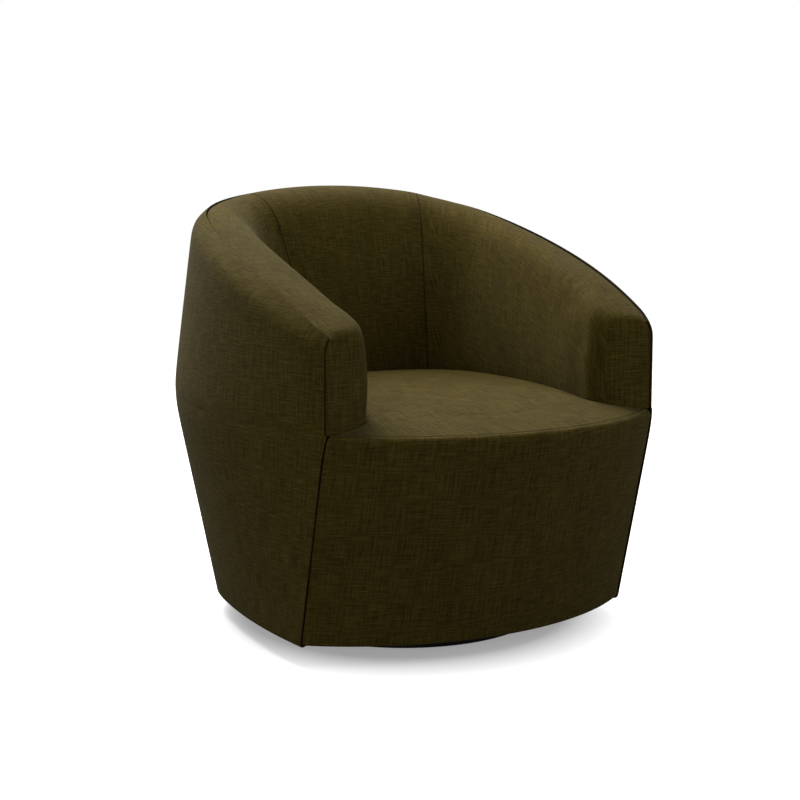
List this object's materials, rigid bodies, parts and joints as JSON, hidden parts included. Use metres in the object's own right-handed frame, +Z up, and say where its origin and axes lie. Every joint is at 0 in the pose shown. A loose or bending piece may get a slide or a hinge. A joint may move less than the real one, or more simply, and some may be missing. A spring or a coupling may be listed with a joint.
{
  "type": "swivel chair",
  "caption": "Fully upholstered barrel swivel chair with sloping arms, a tight seat and a drawn-in base that turns on a hidden round disc.",
  "frame": {"origin": "on the floor, on the axis that the chair turns about, under the middle of the base disc", "axes": "+Z up along the turning axis, -Y towards the front of the chair as it stands at rest, +X towards the sitter's left"},
  "size_m": [0.8088, 0.887, 0.827],
  "materials": {
    "olive_fabric": "matt, slubbed weave",
    "lining_cloth": "matt, thin",
    "webbing": "matt, elastic",
    "felt": "matt, pressed",
    "black_wood": "satin black paint",
    "plate_steel": "satin",
    "bright_steel": "satin",
    "ball_steel": "bright",
    "cage_plastic": "satin",
    "plywood": "raw",
    "frame_wood": "raw"
  },
  "bodies": {
    "base": {"floor_felt": "felt", "base_disc": "black_wood", "swivel_lower_plate": "plate_steel", "lower_plate_screws": "bright_steel", "pivot_rivet": "bright_steel"},
    "ball_ring": {"ball_cage": "cage_plastic", "bearing_balls": "ball_steel"},
    "chair": {"swivel_upper_plate": "plate_steel", "upper_plate_bolts": "bright_steel", "upper_plate_nuts": "bright_steel", "base_board": "plywood", "lower_ribs": "plywood", "front_seat_rail": "plywood", "seat_rail_left": "plywood", "seat_rail_right": "plywood", "rear_seat_rail": "plywood", "spring_rail": "plywood", "corner_blocks": "frame_wood", "arm_ribs_left": "plywood", "arm_ribs_right": "plywood", "back_ribs": "plywood", "arm_rail_left": "frame_wood", "arm_rail_right": "frame_wood", "back_top_rail": "frame_wood", "straps_lengthwise": "webbing", "straps_crosswise": "webbing", "deck_cloth": "lining_cloth", "seat_pad": "olive_fabric", "inside_back": "olive_fabric", "inside_arm_left": "olive_fabric", "inside_arm_right": "olive_fabric", "arm_front_left": "olive_fabric", "arm_front_right": "olive_fabric", "outside_back": "olive_fabric", "outside_arm_left": "olive_fabric", "outside_arm_right": "olive_fabric", "lower_front_panel": "olive_fabric", "lower_panel_left": "olive_fabric", "lower_panel_right": "olive_fabric", "lower_back_panel": "olive_fabric", "dust_cover": "lining_cloth"}
  },
  "joints": [
    {"name": "chair_swivel", "type": "hinge", "parent": "base", "child": "chair", "pos_m": [0, 0, 0.038], "axis": [0, 0, 1], "continuous": true},
    {"name": "ball_ring_turn", "type": "hinge", "parent": "base", "child": "ball_ring", "pos_m": [0, 0, 0.038], "axis": [0, 0, 1], "continuous": true}
  ],
  "couplings": [
    {"joint": "ball_ring_turn", "follows": "chair_swivel", "ratio": 0.5}
  ]
}
